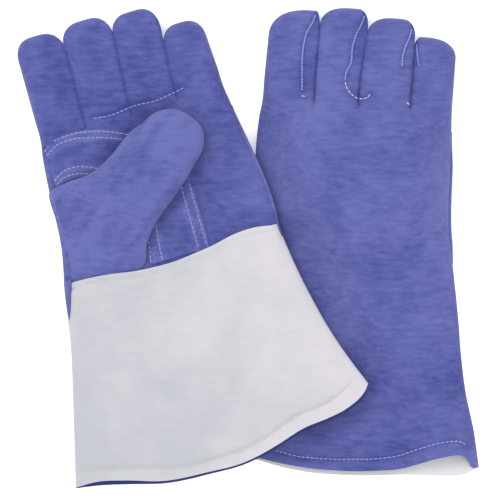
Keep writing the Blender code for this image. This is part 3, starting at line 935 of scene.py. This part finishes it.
# Each material's name, darker and paler colour, and what else differs from plain hide.
CUFF_LOOK = {"mottle": 14.0, "depth": 0.14}
THREAD_LOOK = {"grain": 2500.0, "depth": 0.4}
LOOKS = {
    "blue": ("blue_suede", (0.036, 0.046, 0.200), (0.098, 0.110, 0.316), {}),
    "grey": ("grey_suede", (0.375, 0.386, 0.418), (0.498, 0.474, 0.512), {"streaks": 0.14, **CUFF_LOOK}),
    # A paler grey for the right cuff: painted light against the shade under its back's hem.
    "painted_light_grey": ("painted_light_grey_suede", (0.520, 0.525, 0.545), (0.620, 0.612, 0.630), CUFF_LOOK),
    "welt": ("pale_welt", (0.058, 0.072, 0.250), (0.105, 0.120, 0.335), {"depth": 0.1}),
    "thread": ("blue_thread", (0.150, 0.190, 0.450), (0.215, 0.255, 0.540), THREAD_LOOK),
    "soft_thread": ("soft_thread", (0.210, 0.225, 0.460), (0.300, 0.310, 0.560), THREAD_LOOK),
    "pale_thread": ("pale_thread", (0.40, 0.40, 0.52), (0.52, 0.52, 0.62), THREAD_LOOK),
    "cream_thread": ("cream_thread", (0.47, 0.46, 0.42), (0.53, 0.52, 0.48), THREAD_LOOK),
    "lining": ("cotton_lining", (0.36, 0.35, 0.31), (0.44, 0.43, 0.39), {"grain": 1500.0, "depth": 0.5}),
}
PAPER = ((0.93, 0.925, 0.92), (0.97, 0.965, 0.96))
PAPER_LOOK = {"grain": 300, "depth": 0.02, "sheen": 0, "glow": 0.35}
MATERIALS = {key: make_material(*colours, **look) for key, (*colours, look) in LOOKS.items()}


def belongs(glove, piece, slot, *nodes):
    """The piece rides on the glove's hand and stands for the nodes; slot is not used."""
    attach(piece, f"{glove['side']}_hand")
    if nodes:
        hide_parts(*(f"{glove['side']}_{node}" for node in nodes))


def finger_rows(glove, number):
    """Rows along one finger to its rounded tip: v, wide and tall. The first is for normals only."""
    tip, depth, _ = glove["tips"][number]
    straight = np.arange(SPLIT - ROW_STEP, tip - depth - ROUND_MARGIN, ROW_STEP)
    straight[1] = SPLIT
    turns = np.radians(np.linspace(0, LAST_TURN, TIP_ROWS))
    v = np.concatenate([straight, tip - depth + depth * np.sin(turns)])
    wide = np.concatenate([np.ones_like(straight), np.cos(turns) ** TIP_NARROWING])
    tall = np.concatenate([np.ones_like(straight), np.cos(turns) ** TIP_THINNING])
    return np.stack([v, wide, tall], axis=1)


def finger_piece(glove, number):
    """One finger's skin: over its top, round its sides and underneath, running on from the hand."""
    rows = finger_rows(glove, number)
    over = skin(glove, number, "top", rows, np.linspace(0, math.pi, ACROSS + 1))
    reach = ease((over[2] - MID_HEIGHT) / SIDE_RELIEF_FADE)
    over[2] = over[2] + relief(glove, top_panel(glove), over[0], over[1]) * reach * rows[:, 2][:, None]
    under = skin(glove, number, "bottom", rows, np.linspace(math.pi, 0, UNDER_ACROSS + 1))
    u, v, z = (np.concatenate(halves, axis=1) for halves in zip(over, under))
    points = placed(glove, u, v, z)
    name = f"{glove['side']}_{FINGERS[number]}"
    tone = tones(glove, "finger", u, v)[1:]
    normals = ring_normals(points)[1:]
    piece = thick_skin(f"{name}_skin", points[1:], normals, "blue", tone, closed=True, cap=True)
    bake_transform(piece)
    neighbours = [FINGERS[other] for other in (number - 1, number + 1) if 0 <= other < len(FINGERS)]
    parts = ["back", "front"] + [f"fourchette_{other}_side" for other in neighbours]
    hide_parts(*(f"{name}_{part}" for part in parts))


def thumb_rows():
    """Rows along the thumb, its wing first: a, and how full the outline and bulk are at the tip."""
    straight = np.arange(THUMB_A[0], THUMB_ROUND, ROW_STEP)
    turns = np.radians(np.linspace(0, LAST_TURN, THUMB_TIP_ROWS))
    a = np.concatenate([straight, THUMB_ROUND + (THUMB_TIP - THUMB_ROUND) * np.sin(turns)])
    wide = np.concatenate([np.ones_like(straight), np.cos(turns) ** THUMB_NARROWING])
    return np.stack([a, wide], axis=1)


def thumb_surface(glove, sheet, rows, phi):
    """(u, v, z) of the folded thumb and its wing; it lies on the palm, or on the table under the palm."""
    a, wide = (column[:, None] for column in rows.T)
    upper, lower = curve(a, THUMB_A, THUMB_UPPER), curve(a, THUMB_A, THUMB_LOWER)
    phi = phi[None, :] + 0 * a
    across = -signed_power(np.cos(phi))
    c = (upper + lower) / 2 - THUMB_LEAN * (1 - wide) - across * (upper - lower) / 2 * wide
    cos, sin = math.cos(THUMB_ANGLE), math.sin(THUMB_ANGLE)
    u = THUMB_ORIGIN[0] + a * sin - c * cos
    v = THUMB_ORIGIN[1] + a * cos + c * sin
    bulk = curve(a, THUMB_A, THUMB_BULK) * glove["thumb_height"] * wide**THUMB_THINNING
    base = 0 * u
    if not glove["back_up"]:
        tucked = WING_TUCK * ease((WING_TUCK_END - v) / WING_TUCK_RUN)
        base = surface_z(glove, "top", u, v) + curve(a, *THUMB_GAP) - tucked
    middle = THUMB_MIDDLE * bulk
    full = np.abs(np.sin(phi)) ** SECTION_POWER
    if sheet == "top":
        z = middle + (bulk - middle) * full
    else:
        z = middle - np.minimum(middle, THUMB_BELLY * middle * full)
    return [u, v, base + z]


def thumb_piece(glove):
    """The thumb with its wing, in one leather skin."""
    rows = thumb_rows()
    turns = np.linspace(0, math.pi, ACROSS * 2 + 1)
    over = thumb_surface(glove, "top", rows, turns)
    a, c = thumb_coordinates(over[0], over[1])
    creases = sum(size * ripple(a * stretch, c, width, seed) for size, stretch, width, seed in THUMB_CREASES)
    fade = rows[:, 1][:, None] * ease((rows[:, 0][:, None] - CREASE_START) / CREASE_RUN)
    over[2] = over[2] + creases * np.sin(turns)[None, :] * fade
    under = thumb_surface(glove, "bottom", rows, np.linspace(math.pi, 0, ACROSS + 1))
    u, v, z = (np.concatenate(halves, axis=1) for halves in zip(over, under))
    points = placed(glove, u, v, z)
    tone = tones(glove, "thumb", u, v)
    name = f"{glove['side']}_thumb_skin"
    piece = thick_skin(name, points, ring_normals(points), "blue", tone, THUMB_LEATHER, closed=True, cap=True)
    u, v = THUMB_ORIGIN
    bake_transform(piece)
    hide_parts(*(f"{glove['side']}_{part}" for part in ("thumb_outer", "thumb_inner", "thumb_wing")))


def strap_rims():
    """The strap's inner and outer rim, as the same number of points."""
    steps = np.linspace(0, 1, STRAP_ALONG)
    for rim in (spline(STRAP_INNER, STRAP_STEP), spline(STRAP_OUTER, STRAP_STEP)):
        share = np.linspace(0, 1, len(rim))
        yield np.stack([np.interp(steps, share, rim[:, i]) for i in (0, 1)], axis=1)


def strap_piece(glove):
    """The curved strap sewn on the palm round the thumb opening."""
    sheet, out = ("bottom", -1) if glove["back_up"] else ("top", 1)
    inner, outer = strap_rims()
    share = np.linspace(0, 1, STRAP_COLUMNS)
    line = inner[:, None, :] + (outer - inner)[:, None, :] * share[None, :, None]
    u, v = line[..., 0], line[..., 1]
    edge = np.minimum(share, 1 - share)[None, :] * STRAP_WIDTH
    stitches = np.minimum.reduce([near_line(u, v, row) for row in STRAP_ROWS])
    raised = STRAP_RISE - STRAP_EDGE_DROP * (1 - ease(edge / STRAP_EDGE))
    raised = raised - STITCH_SINK * np.exp(-((stitches / STITCH_SINK_HALF) ** 2))
    swell, *size_and_seed = STRAP_RIPPLE
    z = surface_z(glove, sheet, u, v) + out * (raised + swell * ripple(u, v, *size_and_seed))
    points = placed(glove, u, v, np.maximum(z, STRAP_LOWEST))
    normals = grid_normals(points)
    if normals[..., 2].mean() * out < 0:
        points, normals = points[:, ::-1], -normals[:, ::-1]
    name = f"{glove['side']}_thumb_strap_skin"
    piece = thick_skin(name, points, normals, "blue", tones(glove, "strap", u, v), STRAP_LEATHER)
    belongs(glove, piece, "blue_leather", "thumb_strap")


def leather_under(skins, x, y):
    """Height of the named skins under (x, y), from their nearest points."""
    near = np.concatenate([OUTER[name] for name in skins])
    away = (near[:, 0] - x) ** 2 + (near[:, 1] - y) ** 2
    closest = np.argpartition(away, NEAREST)[:NEAREST]
    weights = 1 / (away[closest] + NEAREST_SOFT)
    return float((near[closest, 2] * weights).sum() / weights.sum())


def bead_points(glove, skins, start, end, girth, length):
    """The rings of one stitch that starts at one point of its line and heads for the next."""
    ahead = (end - start) / math.hypot(*(end - start))
    side = np.array([-ahead[1], ahead[0]])
    for share, swell in BEAD:
        at = start + ahead * length * share
        top = leather_under(skins, *to_table(glove, *at))
        for turn in range(THREAD_SIDES):
            angle = 2 * math.pi * turn / THREAD_SIDES
            x, y = to_table(glove, *(at + side * girth * THREAD_WIDTH * swell * math.cos(angle)))
            z = top + girth * (THREAD_LIFT + swell * math.sin(angle) - BEAD_DIP * (1 - swell))
            yield x * MM, y * MM, z * MM


def thread_piece(glove, name, lines, skins, material, girth=THREAD, length=STITCH_LENGTH, pitch=STITCH_PITCH):
    """Rows of single stitches, each a short bead of thread lying on the skins along its line."""
    skins = [f"{glove['side']}_{skin_name}" for skin_name in skins]
    bead = grid_faces(len(BEAD), THREAD_SIDES, closed=True)
    bead.append(tuple(reversed(range(THREAD_SIDES))))
    bead.append(tuple(THREAD_SIDES * (len(BEAD) - 1) + column for column in range(THREAD_SIDES)))
    points, faces = [], []
    for line in lines:
        path = spline(line, pitch)
        for start, end in zip(path[:-1], path[1:]):
            base = len(points)
            points += bead_points(glove, skins, start, end, girth, length)
            faces += [tuple(base + index for index in face) for face in bead]
    tone = [AVERAGE_TONE] * len(points)
    return link_mesh(f"{glove['side']}_{name}", points, faces, material, tone)


def welt_piece(glove):
    """The welt caught in the little-finger side seam, a soft rounded strip."""
    v = np.arange(WRIST, WELT_END, ROW_STEP)[:, None]
    turns = np.linspace(0, 2 * math.pi, WELT_SIDES, endpoint=False)[None, :]
    _, edge = edges(glove, v)
    ends = ease((WELT_END - WELT_END_ROUND - v) / WELT_FALL_RUN) * ease((v - WRIST) / WELT_RISE_RUN)
    swell = WELT_THINNEST + (1 - WELT_THINNEST) * ends
    u = edge + (WELT_OUT + WELT_HALF_WIDTH * np.cos(turns)) * swell
    rough, *size_and_seed = WELT_RIPPLE
    z = section_z(glove, "top", edge, v, 0) + WELT_HALF_HEIGHT * np.sin(turns) * swell
    z = z + rough * ripple(0 * u + edge, v + 0 * u, *size_and_seed)
    points = placed(glove, u, v + 0 * u, z)
    name = f"{glove['side']}_welt"
    piece = thick_skin(name, points, ring_normals(points), "welt", AVERAGE_TONE, WELT_LEATHER, closed=True)
    belongs(glove, piece, "welt_leather", "side_welt")


def side_tab_piece(glove):
    """The corner of the back that wraps round the thumb side over the end of the cuff."""
    v = np.arange(TAB_START, TAB_END, ROW_STEP)[:, None]
    share = np.linspace(0, 1, TAB_COLUMNS)[None, :]
    low, _ = edges(glove, v)
    width = TAB_POINT + TAB_WIDTH * np.clip((v - TAB_START) / (WRIST - TAB_START), 0, 1) ** TAB_POWER
    u = low - TAB_OUT + width * share
    base = surface_z(glove, "top", np.maximum(u, low + TAB_EDGE), v)
    z = base + wrist_rise(glove, "bottom", u, v) + TAB_RISE
    v = v + 0 * u
    points = placed(glove, *drawn_out(glove, u, v), z)
    name = f"{glove['side']}_side_tab"
    piece = thick_skin(name, points, grid_normals(points), "blue", tones(glove, "palm", u, v), TAB_LEATHER)
    belongs(glove, piece, "blue_leather")


def lining_piece(glove):
    """The cotton lining of the hand, lying inside the leather of both sides."""
    count = int((CROTCH - WRIST) / LINING_STEP)
    rows = plain_rows(np.linspace(WRIST, SPLIT - LINING_SHORT, count))
    phi = np.linspace(0, math.pi, LINING_COLUMNS)
    over = joined_strips(glove, "top", rows, phi)
    under = joined_strips(glove, "bottom", rows, phi)
    u, v, z = (np.concatenate([top, bottom[:, -2:0:-1]], axis=1) for top, bottom in zip(over, under))
    points = placed(glove, u, v, z)
    normals = ring_normals(points)
    inside = points - normals * (LEATHER + LINING_GAP)
    name = f"{glove['side']}_lining"
    piece = thick_skin(name, inside, normals, "lining", AVERAGE_TONE, LINING_CLOTH, closed=True)
    belongs(glove, piece, "cotton_lining", "hand_lining")


def hand_pieces(glove):
    """The back, the palm and the cuff, whichever way up the glove lies."""
    back, palm = ("top", "bottom") if glove["back_up"] else ("bottom", "top")
    columns = {"top": ACROSS, "bottom": UNDER_ACROSS}
    # The back-up glove's cuff takes the paler grey, which is painted light.
    cuff_hide = "painted_light_grey" if glove["back_up"] else "grey"
    panels = (
        ("back", back, 0, SPLIT, "blue", "blue_leather"),
        ("palm", palm, WRIST - PALM_UNDERLAP, SPLIT, "blue", "blue_leather"),
        ("cuff", palm, 0, WRIST, cuff_hide, "grey_leather"),
    )
    for panel, sheet, start, end, hide, slot in panels:
        points, normals, tone = hand_grid(glove, sheet, panel, start, end, columns[sheet])
        name = f"{glove['side']}_{panel}_skin"
        piece = thick_skin(name, points, normals, hide, tone, flip=sheet == "bottom")
        belongs(glove, piece, slot, f"{panel}_panel")


def seam_threads(glove):
    """The stitching that shows: on the fingers and hem of the one, the palm, strap and cuff of the other."""
    if glove["back_up"]:
        for name, line in zip(FINGERS, FINGER_SEAMS):
            skins = (f"{name}_skin", "back_skin")
            piece = thread_piece(glove, f"{name}_thread", (line,), skins, "thread", **FINGER_STITCH)
            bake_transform(piece)
        crotch_skins = ("middle_skin", "ring_skin", "back_skin")
        on_hand = (
            ("crotch_thread", (CROTCH_SEAM, *SEAM_ENDS), crotch_skins, "pale_thread"),
            ("hem_thread", (RIGHT_HEM,), ("back_skin",), "soft_thread"),
        )
    else:
        palm_skins = ("palm_skin", "middle_skin", "ring_skin", "pinky_skin", "index_skin")
        on_hand = (
            ("palm_thread", (PALM_SEAM,), palm_skins, "soft_thread"),
            ("strap_thread", STRAP_ROWS, ("thumb_strap_skin",), "soft_thread"),
            ("cuff_hem_thread", (LEFT_HEM,), ("cuff_skin",), "cream_thread"),
        )
    for name, lines, skins, material in on_hand:
        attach(thread_piece(glove, name, lines, skins, material), f"{glove['side']}_hand")


def build_glove(glove):
    """All the visible pieces of one glove."""
    hand_pieces(glove)
    for number in range(len(FINGERS)):
        finger_piece(glove, number)
    thumb_piece(glove)
    strap_piece(glove)
    welt_piece(glove)
    if not glove["back_up"]:
        side_tab_piece(glove)
    lining_piece(glove)
    seam_threads(glove)


def finish_linings():
    """The linings of the fingers and thumbs keep their solids, in woven cotton."""
    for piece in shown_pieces():
        if piece.name.endswith("_lining") and "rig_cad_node" in piece:
            piece.data.materials.clear()
            piece.data.materials.append(MATERIALS["lining"])


def build_table(scene):
    """The white table, just under the gloves."""
    corners = [(x * TABLE_HALF, y * TABLE_HALF, TABLE_TOP) for x, y in ((-1, -1), (1, -1), (1, 1), (-1, 1))]
    mesh = bpy.data.meshes.new("table")
    mesh.from_pydata(corners, [], [(0, 1, 2, 3)])
    mesh.materials.append(make_material("white_paper", *PAPER, **PAPER_LOOK))
    table = bpy.data.objects.new("table", mesh)
    scene.collection.objects.link(table)


def build_studio(scene):
    """A soft overhead sky, a key light from the upper left, a fill light and a camera straight above."""
    scene.view_settings.view_transform = "Standard"
    build_table(scene)
    scene.world = bpy.data.worlds.new("soft_sky")
    scene.world.use_nodes = True
    sky = scene.world.node_tree.nodes["Background"]
    set_inputs(sky, {"Color": (1, 1, 1, 1), "Strength": SKY_STRENGTH})
    for name, place, energy, size in LAMPS:
        light = bpy.data.lights.new(name, "AREA")
        light.energy = energy
        light.size = size
        lamp = bpy.data.objects.new(name, light)
        lamp.location = place
        lamp.rotation_euler = (-Vector(place)).to_track_quat("-Z", "Y").to_euler()
        scene.collection.objects.link(lamp)
    camera = bpy.data.objects.new("camera", bpy.data.cameras.new("camera"))
    camera.data.lens = CAMERA_LENS
    camera.data.sensor_width = CAMERA_SENSOR
    camera.location = (*CAMERA_AIM, CAMERA_HEIGHT)
    scene.collection.objects.link(camera)
    scene.camera = camera


for side, glove in GLOVES.items():
    locate(side, glove)
for glove in GLOVES.values():
    build_glove(glove)
finish_linings()
build_studio(bpy.context.scene)
